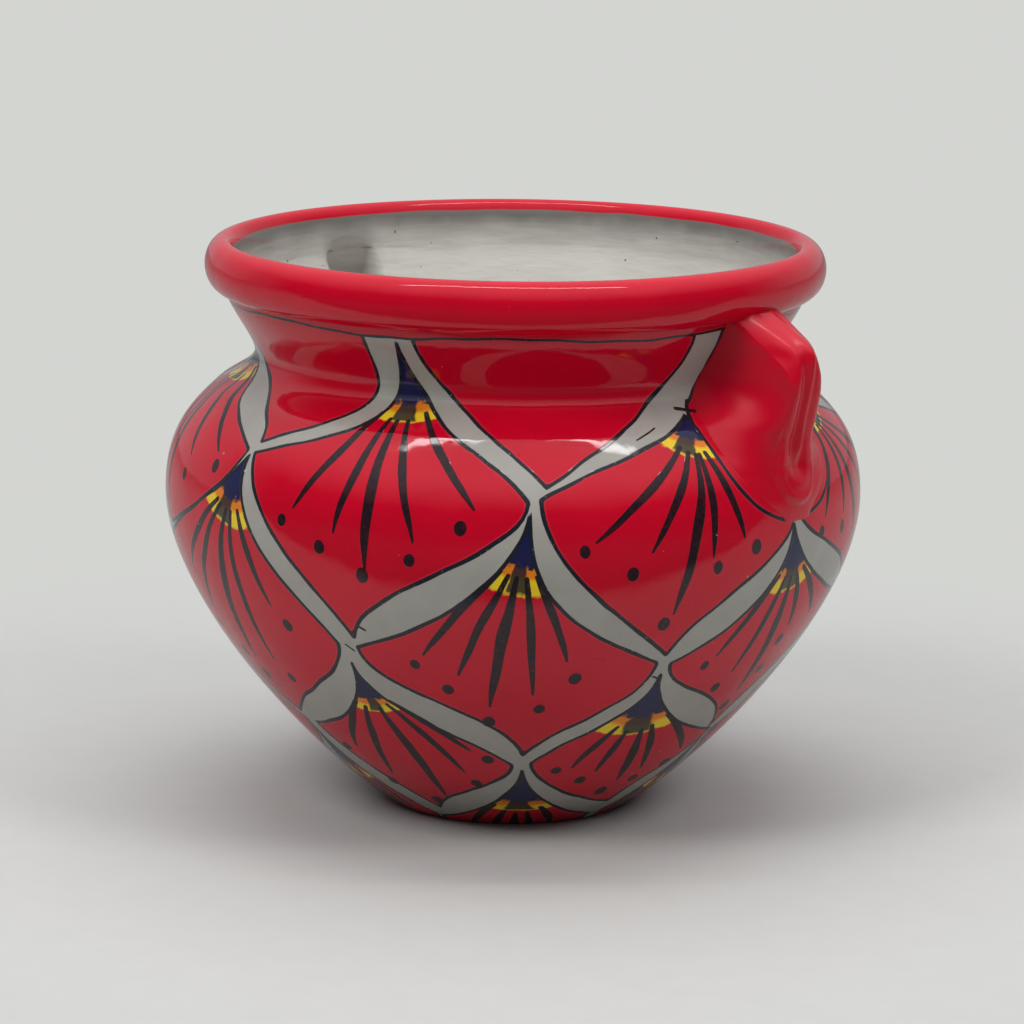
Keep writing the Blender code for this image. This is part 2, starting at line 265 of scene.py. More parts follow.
foot_top = [p for p, _ in lower_all[:lower_start + 1] if p.y > foot_before.y + 0.0005]
floor_outer = inner_side(lower_curve[:1])[0]
floor_edge = Vector((floor_outer.x - (floor_outer.y - FLOOR_THICKNESS), FLOOR_THICKNESS))
hole = [Vector((DRAIN_RADIUS + 0.0012, 0.0)), Vector((DRAIN_RADIUS + 0.0003, 0.0004)),
        Vector((DRAIN_RADIUS, 0.0012)), Vector((DRAIN_RADIUS, FLOOR_THICKNESS - 0.0022)),
        Vector((DRAIN_RADIUS + 0.0007, FLOOR_THICKNESS - 0.0006)),
        Vector((DRAIN_RADIUS + 0.0024, FLOOR_THICKNESS))]
CLAY = bare_clay()
foot_profile = foot_top[::-1] + foot_edge + hole + [floor_edge, floor_outer]
foot = throw("glazed_foot", foot_profile, [CLAY, None])
for face in foot.data.polygons:
    outside = math.hypot(face.center.x, face.center.y) > FOOT_RADIUS - 0.0012
    face.material_index = 1 if outside and face.center.z > 0.0004 else 0
settle(foot)
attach(foot, "root")
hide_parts("base_slab")

# Lining: the pot's inside is dipped in a thin grey-white tin glaze that runs and pools, with
# throwing rings and a few dark specks showing through it.


def split(tree, vector):
    """The three parts of a vector."""
    apart = paint_node(tree, "ShaderNodeSeparateXYZ")
    tree.links.new(vector, apart.inputs[0])
    return apart.outputs


def scaled(tree, value, factor, plus):
    """A value times a factor, plus a value."""
    return calc(tree, "MULTIPLY_ADD", value, factor, plus)


def lining_color(tree, place):
    """The lining's colour, with the darker clay showing where it thins out under the rim."""
    cloud = grain(tree, place, 0.045, 3.0, 0.6)
    fade = scaled(tree, grain(tree, place, 0.02, 2.0, 0.5, 16.0), 0.008, -0.004)
    depth = calc(tree, "ADD", times(tree, split(tree, place)["Z"], -1.0), fade)
    thin = below(tree, depth, -LINING_THINS, 0.0055)
    color = blend(tree, cloud, LINING_DARK, LINING_PALE)
    return blend(tree, thin, color, LINING_THIN)


def lining_glaze():
    """Grey-white glaze of the inside and of the rim's inner edge."""
    material, tree, shader, place = finish("lining_glaze")
    cloud = grain(tree, place, 0.045, 3.0, 0.6)
    streak = paint_node(tree, "ShaderNodeMapping")
    streak.inputs["Scale"].default_value = (1.0, 1.0, 4.0)
    tree.links.new(place, streak.inputs["Vector"])
    rings = grain(tree, streak.outputs["Vector"], 0.02, 2.0, 0.5, 3.0)
    color = blend(tree, times(tree, rings, 0.35), lining_color(tree, place), LINING_WARM)
    specks = below(tree, grain(tree, place, 0.0035, 1.0, 0.5, 8.0), 0.235, 0.012)
    color = blend(tree, specks, color, (0.07, 0.06, 0.055, 1))
    tree.links.new(color, shader.inputs["Base Color"])
    tree.links.new(scaled(tree, cloud, 0.16, 0.10), shader.inputs["Roughness"])
    shader.inputs["IOR"].default_value = 1.5
    relief(tree, shader, [(grain(tree, place, 0.03, 1.0, 0.4, 6.0), 0.0016), (rings, 0.0006)])
    return material


LINING_DARK = (0.43, 0.42, 0.385, 1)
LINING_PALE = (0.56, 0.55, 0.51, 1)
LINING_WARM = (0.47, 0.43, 0.375, 1)
LINING_THIN = (0.17, 0.16, 0.145, 1)
LINING_THINS = 0.2575
LINING = lining_glaze()

# Body: bowl, shoulder and neck of thrown earthenware, luted edge on edge and glazed over, so that
# the seams don't show. The lattice that is brushed on them follows further down.
SHOULDER = Vector((0.1415, 0.1997))
SHOULDER_LEAN = Vector((-math.cos(math.radians(43.0)), math.sin(math.radians(43.0))))
WAIST = Vector((0.1225, 0.217))
COLLAR = Vector((0.1368, 0.246))
COLLAR_LEAN = Vector((math.sin(math.radians(16.0)), math.cos(math.radians(16.0))))
over_curve = rising(BELLY, UP, 0.54, SHOULDER, SHOULDER_LEAN, 0.36, 42)
in_curve = rising(SHOULDER, SHOULDER_LEAN, 0.42, WAIST, UP, 0.47, 20)
shoulder_curve = over_curve + in_curve[1:]
collar_curve = rising(WAIST, UP, 0.23, COLLAR, COLLAR_LEAN, 0.31, 22)
INNER_ROWS = 40


def thin_out(curve, count):
    """As many evenly picked points of a curve as asked."""
    return [curve[round(i * (len(curve) - 1) / count)] for i in range(count + 1)]


def wall_ring(name, curve, inner_rows):
    """A ring of wall, painted outside and lined inside."""
    inner = inner_side(thin_out(curve, inner_rows))
    ring = throw(name, [p for p, _ in curve][::-1] + inner, [None, LINING])
    faces = ring.data.polygons
    looks_in = (rows(faces, "normal")[:, :2] * rows(faces, "center")[:, :2]).sum(1) < 0.0
    faces.foreach_set("material_index", looks_in.astype(np.int32))
    return ring


bowl = wall_ring("painted_bowl", lower_curve, INNER_ROWS // 2)
shoulder = wall_ring("painted_shoulder", shoulder_curve, INNER_ROWS)
neck = wall_ring("painted_neck", collar_curve, INNER_ROWS // 2)
body_nodes = {bowl: "lower_wall", shoulder: "shoulder_wall", neck: "neck_collar"}
for piece, node in body_nodes.items():
    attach(piece, "root")
    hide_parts(node)

# Ears: hollow closed handles of rolled clay, drawn out of the shoulder and neck, with a ribbed strap
# pressed down the crest and thumbed to a small pit and lip at its lower end. Inside the pot the wall
# is pressed out into each ear, so that fingers or soil can reach into it.
EAR_TURNS = {"right": math.radians(6.0), "left": math.radians(174.0)}
EAR_SHELL = 6.5
EAR_ROWS = 150
STRAP_COLUMNS = 26
FLANK_COLUMNS = 32
# Up the ear, each pair a height and a measure in millimetres: how far the crest is from the pot's
# axis, how far the strap's edges lie under its middle, half the strap's width, half the ear's width
# where it meets the wall, and how far the hollow is pressed out
CREST_LINE = ((155, 163.4), (158, 164.2), (161, 164.8), (164, 165.4), (167, 166.0), (170, 166.5),
              (174, 166.9), (180, 167.0), (188, 166.4), (195, 165.4), (206, 166.9), (215, 168.9),
              (223, 170.4), (231, 171.2), (235, 170.0), (238, 167.2), (244, 156.5), (248, 149.5),
              (252, 143.0))
DROP_LINE = ((160, 2.0), (166, 4.0), (172, 5.5), (180, 6.0), (188, 6.0), (195, 4.0), (200, 2.5),
             (206, 1.5), (215, 1.5), (219, 2.3), (223, 3.5), (229, 8.0), (232, 12.5), (236, 15.5),
             (240, 15.0), (246, 10.5), (252, 8.0))
STRAP_LINE = ((179, 14.4), (188, 14.2), (195, 13.4), (205, 12.0), (215, 11.5), (222, 11.8), (231, 12.8),
              (238, 14.6), (244, 15.8), (252, 16.4))
SKIRT_LINE = ((155, 9.0), (157, 10.0), (160, 12.0), (163, 15.5), (168, 22.5), (175, 30.0), (185, 35.0),
              (195, 35.5), (203, 32.5), (209, 27.0), (214, 22.5), (219, 19.6), (230, 17.4), (243, 17.9),
              (252, 17.9))
HOLLOW_LINE = ((187, 0.0), (193, 6.0), (202, 20.0), (214, 30.0), (226, 26.0), (234, 17.0), (240, 10.0),
               (246, 5.0), (251, 2.2), (256, 0.6), (259, 0.0))
# Round the pit the strap ends in a half circle. Each pair is how many degrees down from level it
# lies, and how far from the pit's middle the ear runs out into the wall.
PIT_MIDDLE = 179.0
PIT_DEPTH = 5.2
RIB_HEIGHT = 1.05
KNOB_HEIGHT = 2.4
PIT_REACH = ((0, 32.3), (8, 30.3), (26, 25.0), (46, 22.4), (58, 22.6), (69, 24.4), (90, 23.0))
HOLLOW_HALF = 20.0
HOLLOW_SIDE = 8.0
EAR_FOOT = 156.0
EAR_TOP = 250.5
SKIN_GAP = 3.0
EAR_SPAN = 40.0
PRESSED_FROM = 158.0

wall_points = [p for p, _ in lower_curve + shoulder_curve[1:] + collar_curve[1:]]
wall_heights = np.array([p.y for p in wall_points]) * 1000.0
wall_radii = np.array([p.x for p in wall_points]) * 1000.0


def along(line, height):
    """Smooth reading of a line of pairs: straight between them, then eased over 3 mm."""
    heights, values = zip(*line)
    reach = np.linspace(-3.0, 3.0, 7)
    weights = 1.0 - np.abs(reach) / 4.0
    read = [np.interp(height + step, heights, values) * w for step, w in zip(reach, weights)]
    return sum(read) / weights.sum()


def wall_face(y, z):
    """How far out the wall is at a place y beside the ear's middle and z up, in millimetres."""
    radius = np.interp(z, wall_heights, wall_radii)
    return np.sqrt(np.maximum(radius**2 - y**2, 1.0))


def ear_face(y, z):
    """How far out the ear's skin is, in millimetres."""
    low = np.maximum(PIT_MIDDLE - z, 0.0)
    held = np.maximum(z, PIT_MIDDLE)
    slant = np.arctan2(low, np.maximum(np.abs(y), 1e-6))
    across = np.hypot(y, low)
    half = along(STRAP_LINE, held)
    skirt = np.maximum(along(SKIRT_LINE, held), half + 0.6)
    skirt = np.where(low > 0.0, np.interp(np.degrees(slant), *zip(*PIT_REACH)), skirt)
    edge_y, edge_z = half * np.cos(slant), held - half * np.sin(slant)
    edge = along(CREST_LINE, edge_z) - along(DROP_LINE, edge_z) * np.cos(slant) ** 2
    lift = edge - wall_face(edge_y, edge_z)
    share = np.clip((across - half) / (skirt - half), 0.0, 1.0)
    drop = along(DROP_LINE, z)
    near_pit = np.clip((190.0 - z) / 10.0, 0.0, 1.0)
    brow_height = np.maximum(np.clip(lift / 6.0, 0.0, 1.0), near_pit)
    brow_height = (1.1 + 0.7 * near_pit) * brow_height * (1.0 - drop / 20.0)
    middle = y / half
    brow = brow_height * np.exp(-((across / half - 0.84) / 0.16) ** 2)
    ribs = RIB_HEIGHT * np.cos(3 * math.pi * middle) * (1 - middle**2) * np.clip((z - 182.0) / 14.0, 0, 1)
    pit = PIT_DEPTH * np.exp(-(y / 6.6) ** 2 - ((z - 183.0) / np.where(z < 183.0, 6.4, 12.0)) ** 2)
    knob = KNOB_HEIGHT * np.exp(-((y + 0.5) / 2.1) ** 2 - ((z - 190.0) / 8.0) ** 2)
    strap_face = along(CREST_LINE, z) - drop * middle**2 + ribs + brow - pit + knob
    flank_face = wall_face(y, z) + lift * (1.0 - share**1.25) - 0.5 * share**6
    flank_face += brow_height * math.exp(-1.0) * np.exp(-share / 0.06)
    return np.where(across <= half, strap_face, flank_face)


def ear_lift(y, z):
    """How far the ear's skin stands out from the wall, in millimetres."""
    return np.maximum(ear_face(y, z) - wall_face(y, z), 0.0)


def clear_lift(y, z):
    """How far the wall can be pressed out and stay clear of the ear's skin all round it."""
    beside = np.abs(y) + SKIN_GAP
    return np.minimum(ear_lift(beside, z - 2.0), ear_lift(beside, z + 2.0))


def hollow_depth(y, z):
    """How far the wall's inside is pressed out, never nearer the ear's skin than its shell."""
    room = clear_lift(y, z) + WALL * 1000 - EAR_SHELL
    depth = -1.5 * np.log(np.exp(-along(HOLLOW_LINE, z) / 1.5) + np.exp(-room / 1.5))
    side = np.clip((HOLLOW_HALF - np.abs(y)) / HOLLOW_SIDE, 0.0, 1.0)
    return np.maximum(depth, 0.0) * side * side * (3.0 - 2.0 * side)


def press_ears(piece):
    """Presses the wall out into the ears: its inside to the hollows, its outside under their skin."""
    mesh = piece.data
    co = rows(mesh.vertices, "co") * 1000.0
    z = co[:, 2]
    under = np.interp(z, wall_heights, wall_radii) - np.hypot(co[:, 0], co[:, 1])
    for turn in EAR_TURNS.values():
        out = co[:, 0] * math.cos(turn) + co[:, 1] * math.sin(turn)
        y = co[:, 1] * math.cos(turn) - co[:, 0] * math.sin(turn)
        outside = np.where(z <= wall_heights[-1], np.maximum(clear_lift(y, z) - SKIN_GAP, 0.0), 0.0)
        press = np.where(under > 4.0, hollow_depth(y, z), outside)
        press = np.where((out > 50.0) & (np.abs(y) < EAR_SPAN) & (z > PRESSED_FROM), press, 0.0)
        co[:, 0] += press * math.cos(turn)
        co[:, 1] += press * math.sin(turn)
    mesh.vertices.foreach_set("co", co.ravel() / 1000.0)


def ear_form(name, turn):
    """An ear's clay: its face from ear_face, its back let into the wall or the wall's swelling."""
    columns = 2 * FLANK_COLUMNS + STRAP_COLUMNS
    clay = bmesh.new()
    bmesh.ops.create_grid(clay, x_segments=columns, y_segments=EAR_ROWS, size=1.0)
    grid = np.array([vert.co[:2] for vert in clay.verts])
    z = EAR_FOOT + (EAR_TOP - EAR_FOOT) * (grid[:, 1] + 1) / 2
    skirt = along(SKIRT_LINE, z)
    half = np.minimum(along(STRAP_LINE, z), skirt * 0.62)
    place = np.abs(np.rint((grid[:, 0] + 1) / 2 * columns) - columns / 2)
    share = np.maximum(place - STRAP_COLUMNS / 2, 0) / FLANK_COLUMNS
    y = np.minimum(place / (STRAP_COLUMNS / 2), 1.0) * half + (skirt - half) * share**1.7
    y *= np.sign(grid[:, 0])
    back = wall_face(y, z) - 0.8 + np.maximum(ear_lift(y, z) - 4.5, 0.0)
    face = np.maximum(ear_face(y, z), back + 0.1)
    bmesh.ops.extrude_face_region(clay, geom=list(clay.faces), use_keep_orig=True)
    clay.verts.ensure_lookup_table()
    for i, vert in enumerate(clay.verts):
        k = i % len(z)
        vert.co = ((face if i < len(z) else back)[k] / 1000, y[k] / 1000, z[k] / 1000)
    bmesh.ops.rotate(clay, verts=clay.verts, cent=(0, 0, 0), matrix=Matrix.Rotation(turn, 3, "Z"))
    bmesh.ops.recalc_face_normals(clay, faces=clay.faces)
    return shaped(name, clay, [None])


ears = []
for side, turn in EAR_TURNS.items():
    ear = ear_form("ear_handle_" + side, turn)
    settle(ear, 60.0)
    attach(ear, "root")
    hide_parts("ear_" + side, "ear_strap_" + side)
    ears.append(ear)
press_ears(shoulder)
press_ears(neck)
settle(bowl)
settle(shoulder, 78.0)
settle(neck, 78.0)

# Rim: a fat coil rolled outwards over the neck's edge. Its inside carries on the neck's flare. It is
# red outside and on top, with the lining glaze drawn up to a wavering edge just inside its top.
ROLL_WIDTH = 0.018
ROLL_HEIGHT = 0.024
ROLL_START = math.radians(-78.0)
ROLL_ROWS = 60
ROLL_INNER_ROWS = 24
LINED_TO = 0.2595
neck_edge = inner_side(collar_curve[-1:])[0]
roll_centre = Vector((neck_edge.x + ROLL_WIDTH / 2, COLLAR.y + ROLL_HEIGHT / 2))
roll_top = roll_centre + Vector((0.0, ROLL_HEIGHT / 2))
roll_inside = rising(neck_edge, COLLAR_LEAN, 0.40, roll_top, Vector((1.0, 0.0)), 0.277, ROLL_INNER_ROWS)
roll = [p for p, _ in roll_inside]
for i in range(1, ROLL_ROWS + 1):
    a = math.pi / 2 + (ROLL_START - math.pi / 2) * i / ROLL_ROWS
    roll.append(roll_centre + Vector((math.cos(a) * ROLL_WIDTH / 2, math.sin(a) * ROLL_HEIGHT / 2)))
rim = throw("rolled_rim", roll + [COLLAR], [None, LINING])
for face in rim.data.polygons:
    inward = math.hypot(face.center.x, face.center.y) < roll_centre.x - 0.003
    face.material_index = 1 if inward and face.center.z < LINED_TO else 0
press_ears(rim)
settle(rim, 60.0)
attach(rim, "root")
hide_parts("rim_roll")

# Lattice: four rows of leaf-shaped red panels brushed round the pot, each with a blue tip, a dab of
# orange and yellow, a fan of five black strokes and five dots. Grey-white bands part the panels.
# Places are pairs: degrees round the pot from the viewer's middle, and millimetres up the wall.
FRONT = math.degrees(VIEW_SIDE)
EAR_PLACE = 51.5
FAR_EAR_PLACE = -140.5
UPPER = ((0.05, 0.45), (0.45, 0.80))
LOWER = ((0.02, 0.40), (0.80, 0.60))
BESIDE_EAR = ((0.05, 0.50), (0.35, 0.95))
FROM_EAR = ((0.25, 0.33), (0.80, 0.60))
UNDER_EAR = ((0.02, 0.40), (0.55, 0.72))
AWAY_FROM_EAR = ((0.10, 0.30), (0.85, 0.60))
FOOT_SIDE = ((0.02, 0.55), (0.45, 0.88))
FAN = ((-0.64, 0.57), (-0.36, 0.66), (-0.08, 0.77), (0.22, 0.68), (0.48, 0.56))
DOTS = ((-0.72, 0.61), (-0.46, 0.72), (-0.10, 0.86), (0.26, 0.77), (0.56, 0.62))
TIP = (24.0, 29.0, 35.0)
HIGH_TIP = (34, 39.5, 45)
EAR_TIP = (17, 21.5, 27)
BELLY_TIP = (25, 31, 38.5)
FOOT_TIP = (31, 36, 40)
PLAIN = (-90.0, -80.0, -70.0)
LINE_HEIGHT = 243.0
LOWEST = -30.0


def leaf(top, right, bottom, left, ul=UPPER, ur=UPPER, ll=LOWER, lr=LOWER, tip=TIP, fan=None, dots=None):
    """One panel: its four corners, the bend of its four sides, its tip's bands, its fan and dots."""
    return {"top": top, "right": right, "bottom": bottom, "left": left, "ul": ul, "ur": ur, "ll": ll,
            "lr": lr, "tip": tip, "fan": fan, "dots": dots}


def behind(place):
    """Mirrors a place on the viewer's side to the far side, which is a little shorter."""
    away = EAR_PLACE - place
    if away > 49.0:
        away = 49.0 + (away - 49.0) * 0.832
    return EAR_PLACE + away


def mirrored(panel):
    """The panel that faces away from the viewer opposite this one."""
    def flip(place):
        return (behind(place[0]), place[1])
    fan = panel["fan"] and [flip(p) for p in panel["fan"]]
    dots = panel["dots"] and [flip(p) for p in panel["dots"]]
    return leaf(flip(panel["top"]), flip(panel["left"]), flip(panel["bottom"]), flip(panel["right"]),
                panel["ur"], panel["ul"], panel["lr"], panel["ll"], panel["tip"], fan, dots)


both_sides = [
    leaf((-23.2, 240), (2.5, 175.5), (-27.5, 108), (-49, 185.5), ul=((0.07, 0.75), (0.08, 0.66)),
         ur=((0.06, 0.62), (0.75, 0.60)), ll=((0.20, 0.35), (0.75, 0.65)), lr=((0.05, 0.36), (0.90, 0.60)),
         tip=HIGH_TIP, fan=[(-37, 166), (-29, 158), (-23.5, 142), (-15.5, 157), (-6, 172)],
         dots=[(-39, 160), (-31.5, 150.5), (-24, 140), (-16, 149), (-8, 164.5)]),
    leaf((-84, 240), (-51, 186), (-76, 140), (-97, 185), ur=((0.04, 0.50), (0.55, 0.66)),
         lr=((0.05, 0.40), (0.60, 0.80)), tip=HIGH_TIP,
         fan=[(-90, 165), (-83, 158), (-77, 150), (-68, 176), (-59, 182)],
         dots=[(-94, 160), (-87, 150), (-78, 145), (-68.5, 167), (-58, 176)]),
    leaf((-124.5, 206), (-99.5, 184), (-117, 102), (-139.5, 158), ul=BESIDE_EAR, ur=FROM_EAR,
         ll=AWAY_FROM_EAR, lr=UNDER_EAR, tip=EAR_TIP),
    leaf((-50, 184), (-31, 104), (-56, 56), (-79, 132), ul=((0.12, 0.38), (0.67, 0.73)),
         ur=((0.02, 0.42), (0.60, 0.65)), ll=((-0.15, 0.30), (0.50, 0.85)), lr=((0.0, 0.40), (0.70, 0.70)),
         tip=(22.5, 29, 35), fan=[(-68, 125), (-66.5, 105), (-58.5, 84), (-51, 86), (-44, 117)],
         dots=[(-69, 95), (-63, 84), (-59.5, 74), (-48.5, 77.5), (-41.5, 108.5)]),
    leaf((-98.5, 179), (-82, 136), (-100, 50), (-117.5, 100)),
    leaf((-29.5, 94), (0.5, 41.5), (-27, 9.5), (-52, 52), ul=((0.0, 0.50), (0.30, 0.85)),
         ur=((0.02, 0.45), (0.65, 0.68)), ll=((0.05, 0.30), (0.60, 0.75)), lr=((0.0, 0.45), (0.85, 0.65)),
         tip=(23.5, 28, 32), fan=[(-42, 43), (-36, 29), (-21, 19), (-12, 36), (-9.5, 49.5)],
         dots=[(-46.5, 41), (-38.5, 23.5), (-25.5, 15), (-9.5, 29), (-5.5, 44.5)]),
    leaf((-81, 124), (-56, 52), (-80, 9.5), (-104, 48)),
    leaf((-118, 92), (-106.5, 46), (-121, 9.5), (-139, 44)),
    leaf((3.2, 38), (34, 5), (3.2, LOWEST), (-30, 3), ul=FOOT_SIDE, ur=FOOT_SIDE, tip=FOOT_TIP),
    leaf((-56, 48), (-32, 4), (-56, LOWEST), (-77, 4), tip=FOOT_TIP),
    leaf((-100, 42), (-83, 4), (-100, LOWEST), (-119, 4), tip=FOOT_TIP),
    leaf((10, 262), (36.5, 243), (5.4, 181.5), (-19.6, 243), ll=((0.04, 0.50), (0.62, 0.58)),
         lr=((-0.05, 0.55), (0.50, 0.55)), tip=PLAIN),
    leaf((-56, 262), (-30.4, 243), (-49, 190), (-81.5, 243), ll=((0.05, 0.62), (0.95, 0.62)),
         lr=((-0.15, 0.80), (0.10, 0.66)), tip=PLAIN),
    leaf((-106, 262), (-86.5, 243), (-98.5, 188), (-125.5, 243), ll=((-0.05, 0.55), (0.50, 0.55)),
         lr=((0.04, 0.50), (0.62, 0.58)), tip=PLAIN),
]
panels = both_sides + [mirrored(panel) for panel in both_sides]
panels += [
    leaf((35.5, 206), (50.5, 158), (27.7, 101), (4.5, 176.5), ul=FROM_EAR, ur=BESIDE_EAR,
         ll=UNDER_EAR, lr=AWAY_FROM_EAR, tip=EAR_TIP,
         fan=[(13, 158), (22, 152), (27, 122), (33, 147), (39, 154)],
         dots=[(11.2, 154), (19, 143), (25.5, 117.5), (34, 142), (41.5, 149)]),
    leaf((67.5, 206), (98, 178), (76.5, 116), (52.5, 158), ul=BESIDE_EAR, ur=FROM_EAR,
         ll=((0.10, 0.30), (0.75, 0.50)), lr=UNDER_EAR, tip=EAR_TIP,
         fan=[(60, 155), (68, 152), (76, 130), (84, 150), (92, 158)],
         dots=[(59, 148), (67.5, 146), (77, 125), (86, 140), (94, 152)]),
    leaf((2.7, 171), (26.5, 97), (3, 47.5), (-27.3, 103.5), ul=((0.08, 0.42), (0.45, 0.80)),
         ur=((-0.02, 0.50), (0.25, 0.72)), ll=((0.03, 0.42), (0.80, 0.50)), lr=((0.0, 0.45), (0.75, 0.65)),
         tip=BELLY_TIP, fan=[(-15, 103), (-9.3, 93), (-4, 76), (4, 83), (9.5, 101)],
         dots=[(-17, 97.5), (-11.7, 85), (-4.5, 67.5), (5.5, 75), (11.5, 91.5)]),
    leaf((50.5, 157), (74.5, 112), (54.5, 51), (29.3, 96), ll=((0.02, 0.40), (0.80, 0.45)),
         tip=(24, 29, 35), fan=[(39.5, 96), (46.5, 84), (54, 70), (58, 103), (65, 106)],
         dots=[(37.5, 91.5), (44, 77), (53, 63), (57, 81), (57.5, 95.5)]),
    leaf((100.3, 171), (125.3, 103.5), (100, 47.5), (78.5, 111), tip=BELLY_TIP),
    leaf((28.2, 90), (56, 49), (38, 12), (5.2, 42.5), ul=((0.02, 0.50), (0.70, 0.68)),
         ur=((0.03, 0.50), (0.40, 0.85)), ll=((0.02, 0.45), (0.50, 0.85)),
         tip=(29, 36, 42), fan=[(16, 38.5), (23.5, 35), (33, 27), (38.5, 33), (49.5, 40)],
         dots=[(12, 37.5), (20, 30), (30, 21), (39, 26.5), (48, 33)]),
    leaf((76.5, 105), (102, 42), (75, 10), (57.5, 49)),
    leaf((FAR_EAR_PLACE, 157), (-119, 98), (FAR_EAR_PLACE, 50), (-160, 98)),
    leaf((56, 44), (73, 5), (56, LOWEST), (40, 5), tip=FOOT_TIP),
    leaf((FAR_EAR_PLACE, 42), (-122, 4), (FAR_EAR_PLACE, LOWEST), (-157, 4), tip=FOOT_TIP),
]


def arc_up(z):
    """Length up the wall's outer side at a height, in millimetres; below the foot it runs on."""
    return np.where(z < 0.0, z * 1.55, np.interp(z, arc_heights, arc_lengths))


steps_up = np.hypot(np.diff(wall_heights), np.diff(wall_radii))
arc_heights = np.concatenate([[0.0], wall_heights, [wall_heights[-1] + 40.0]])
first_step = math.hypot(wall_heights[0], wall_radii[0] - FOOT_RADIUS * 1000)
arc_lengths = np.concatenate([[0.0, first_step], first_step + np.cumsum(steps_up)])
arc_lengths = np.append(arc_lengths, arc_lengths[-1] + 41.0)


def stroke_side(a, b, bend, count=22):
    """One side of a panel, with its handles as shares of the way across and down."""
    t = np.linspace(0.0, 1.0, count)[:, None]
    a, b = np.array(a, float), np.array(b, float)
    p1 = a + (b - a) * np.array(bend[0])
    p2 = a + (b - a) * np.array(bend[1])
    return a * (1 - t) ** 3 + p1 * 3 * t * (1 - t) ** 2 + p2 * 3 * t * t * (1 - t) + b * t**3


def outline(panel):
    """A panel's outline, clockwise from its tip."""
    sides = [stroke_side(panel["top"], panel["right"], panel["ur"])[:-1],
             stroke_side(panel["right"], panel["bottom"], panel["lr"])[:-1],
             stroke_side(panel["left"], panel["bottom"], panel["ll"])[::-1][:-1],
             stroke_side(panel["top"], panel["left"], panel["ul"])[::-1][:-1]]
    return np.vstack(sides)


EAR_SIDE = ((8.2, 262.0), (8.2, 243.0), (7.9, 235.0), (8.2, 225.0), (9.4, 218.0), (11.4, 212.5),
            (14.2, 208.6))


def ear_outline(middle, toward, corner, foot, far_side):
    """Plain red field under an ear: down beside its neck, then down the side of the leaf beside it."""
    beside_neck = [(middle + toward * away, z) for away, z in EAR_SIDE]
    near = np.vstack([beside_neck, stroke_side(corner, foot, BESIDE_EAR)[1:]])
    return np.vstack([near, [far_side(p) for p in near[::-1]]])


ear_fields = [ear_outline(EAR_PLACE, -1, (35.5, 206), (50.5, 158),
                          lambda p: (2 * EAR_PLACE - p[0], p[1])),
              ear_outline(FAR_EAR_PLACE, 1, (-124.5, 206), (-139.5, 158),
                          lambda p: (behind(p[0]) - 360.0, p[1]))]


def local(points, az, arc, radius):
    """Places of points as seen flat from each spot on the wall, in millimetres."""
    turn = (points[None, :, 0] - az[:, None] + 180.0) % 360.0 - 180.0
    x = np.radians(turn) * radius[:, None]
    y = arc_up(points[:, 1])[None, :] - arc[:, None]
    return x, y


def nearest_step(x, y, closed):
    """Nearest step of a line of points to each spot: distance, share, side, index and length."""
    x2, y2 = (np.roll(x, -1, 1), np.roll(y, -1, 1)) if closed else (x[:, 1:], y[:, 1:])
    x1, y1 = (x, y) if closed else (x[:, :-1], y[:, :-1])
    dx, dy = x2 - x1, y2 - y1
    length = np.sqrt(dx * dx + dy * dy) + 1e-9
    share = -(x1 * dx + y1 * dy) / length**2
    held = np.clip(share, 0.0, 1.0)
    gap = np.hypot(x1 + held * dx, y1 + held * dy)
    best = gap.argmin(1)
    row = np.arange(len(best))
    side = (x1 * dy - y1 * dx)[row, best] / length[row, best]
    return gap[row, best], share[row, best], side, best, length[row, best]


def inside(x, y):
    """Whether the spot at the origin lies inside each closed outline."""
    x2, y2 = np.roll(x, -1, 1), np.roll(y, -1, 1)
    crosses = (y > 0) != (y2 > 0)
    with np.errstate(divide="ignore", invalid="ignore"):
        at = x - y * (x2 - x) / (y2 - y)
    return (crosses & (at > 0)).sum(1) % 2 == 1


def near_mask(points, az, arc, radius, reach):
    """Spots on the wall that lie within reach of a set of points."""
    middle = points[:, 0].mean()
    turn = (az - middle + 180.0) % 360.0 - 180.0
    span = np.abs(points[:, 0] - middle).max() + np.degrees(reach / np.maximum(radius, 30.0))
    levels = arc_up(points[:, 1])
    return (np.abs(turn) < span) & (arc > levels.min() - reach) & (arc < levels.max() + reach)


# How far down the blue tip lies the spot that the strokes point back to, the half width of the
# strokes and of the middle one, and the least radius of a dot and how much more it may have
FAN_SPOT = 0.55
STROKE = 2.1
MIDDLE_STROKE = 2.8
DOT = 2.45
DOT_MORE = 0.6


def fan_root(panel):
    """The spot in a panel's blue tip that its strokes point back to."""
    top = panel["top"]
    z = np.linspace(top[1], panel["bottom"][1], 80)
    left = stroke_side(top, panel["left"], panel["ul"])
    right = stroke_side(top, panel["right"], panel["ur"])
    az = (np.interp(-z, -left[:, 1], left[:, 0]) + np.interp(-z, -right[:, 1], right[:, 0])) / 2
    aside = np.radians(az - top[0]) * np.interp(z, wall_heights, wall_radii)
    away = np.hypot(aside, arc_up(top[1]) - arc_up(z))
    spot = panel["tip"][0] * FAN_SPOT
    return np.interp(spot, away, az), np.interp(spot, away, z)


